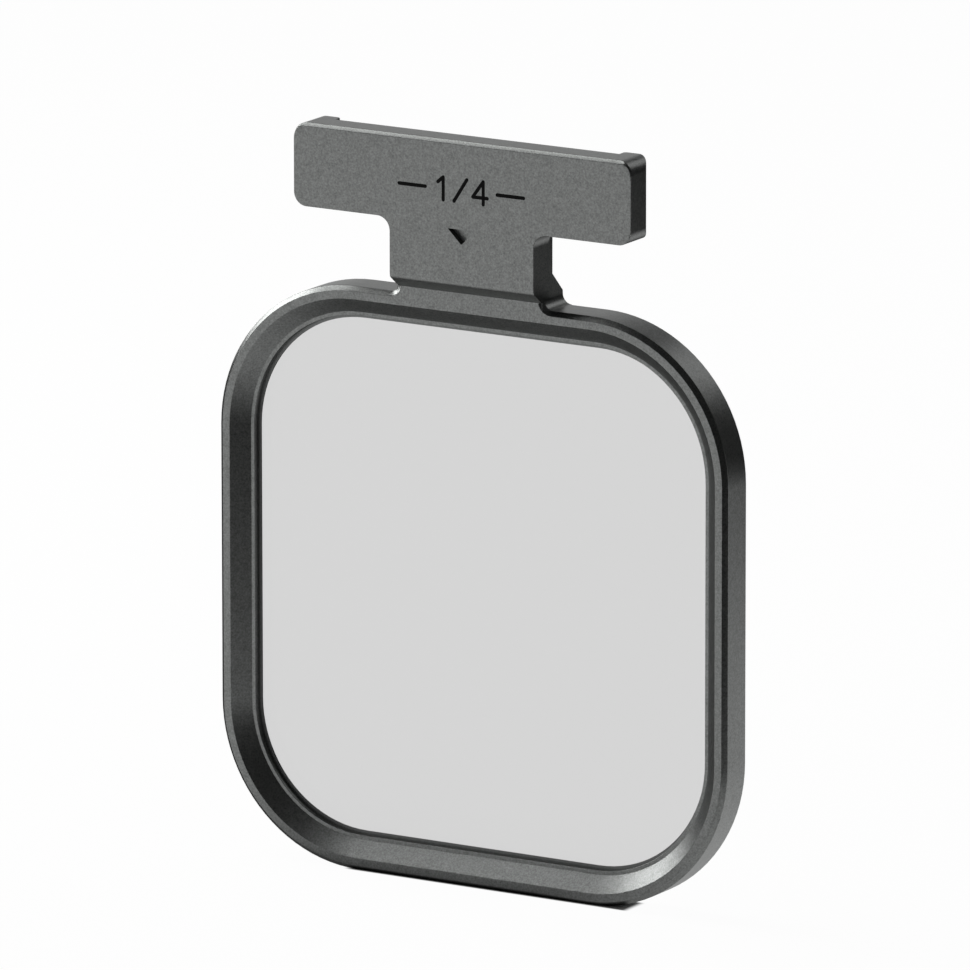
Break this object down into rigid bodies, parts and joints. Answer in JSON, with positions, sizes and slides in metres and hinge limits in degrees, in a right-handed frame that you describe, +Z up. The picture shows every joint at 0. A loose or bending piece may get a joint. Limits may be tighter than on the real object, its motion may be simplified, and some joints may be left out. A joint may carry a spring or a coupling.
{
  "type": "magnetic neutral density filter",
  "caption": "Rounded square neutral density filter in a machined frame, with a T-shaped pull tab on a cranked neck and magnets in the tab.",
  "frame": {"origin": "centre of the bounding box at its base, where the frame's lower edge stands", "axes": "+X to the right seen from the front, +Y from the front face to the back, +Z up through the tab"},
  "size_m": [0.095, 0.0092, 0.1234],
  "materials": {
    "anodised_aluminium": "blasted and dark grey anodised",
    "grey_glass": "polished, neutral grey",
    "black_seal": "matt black",
    "ring_aluminium": "black anodised",
    "nickel_magnet": "nickel plated"
  },
  "bodies": {
    "root": {"filter_frame": "anodised_aluminium", "nd_glass": "grey_glass", "glass_seal": "black_seal", "retaining_ring": "ring_aluminium", "left_magnet": "nickel_magnet", "right_magnet": "nickel_magnet"}
  },
  "joints": []
}
